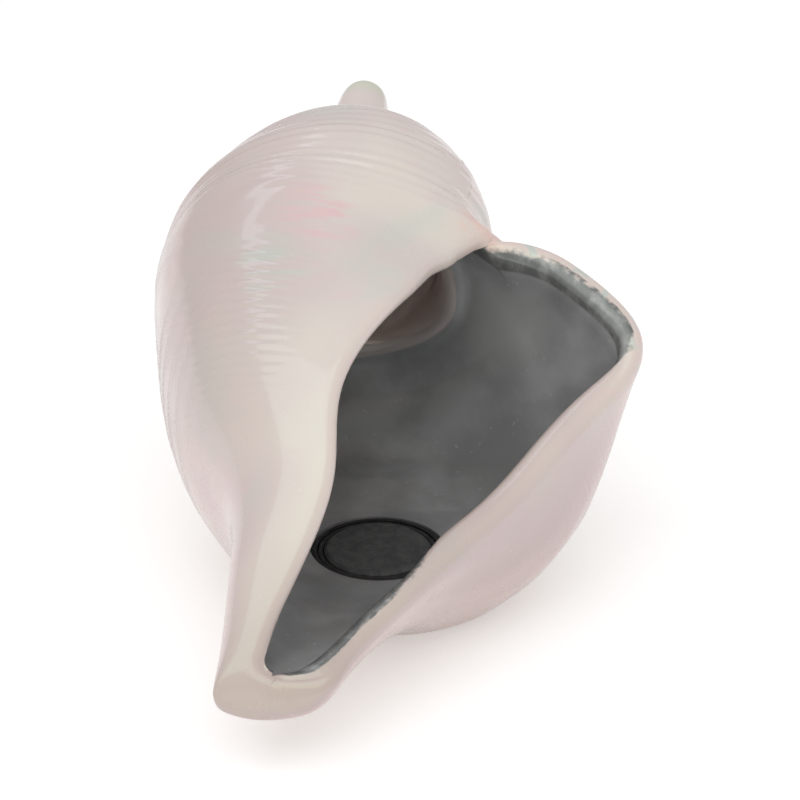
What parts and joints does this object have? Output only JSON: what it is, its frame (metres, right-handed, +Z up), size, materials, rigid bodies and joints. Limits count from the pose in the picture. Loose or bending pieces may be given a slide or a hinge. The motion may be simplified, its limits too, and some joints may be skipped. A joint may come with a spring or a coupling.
{
  "type": "conch shell air bubbler ornament",
  "caption": "Hollow glazed ceramic conch for an aquarium: air enters by a swivel elbow behind the foot and leaves as bubbles from a porous disc in the mouth.",
  "frame": {"origin": "on the table, under the middle of the ornament's bounding box", "axes": "+Z up; +Y towards the spire, along the shell; +X to the side that the mouth opens to"},
  "size_m": [0.0984, 0.1674, 0.0864],
  "materials": {
    "pearl_glaze": "glossy pearl lustre glaze outside, pewter lustre inside",
    "black_plastic": "satin moulded",
    "black_rubber": "matt",
    "diffuser_stone": "matt, porous",
    "silicone": "milky, smooth",
    "clear_pad": "smooth"
  },
  "bodies": {
    "shell": {"shell_body": "pearl_glaze", "plenum_cup": "black_plastic", "cup_gasket": "black_rubber", "disc_collar": "black_plastic", "feed_tube": "silicone", "inlet_grommet": "black_rubber", "inlet_bush": "black_plastic", "foot_pad_1": "clear_pad", "foot_pad_2": "clear_pad", "foot_pad_3": "clear_pad", "foot_pad_4": "clear_pad"},
    "diffuser": {"diffuser_disc": "diffuser_stone", "disc_seal": "black_rubber"},
    "inlet": {"inlet_elbow": "black_plastic"}
  },
  "joints": [
    {"name": "disc_lift", "type": "slide", "parent": "shell", "child": "diffuser", "axis": [0, 0, 1], "range_m": [0, 0.02]},
    {"name": "inlet_swivel", "type": "hinge", "parent": "shell", "child": "inlet", "pos_m": [-0.004, 0.0348, 0.0048], "axis": [0, 1, 0], "range_deg": [-20, 20]}
  ]
}
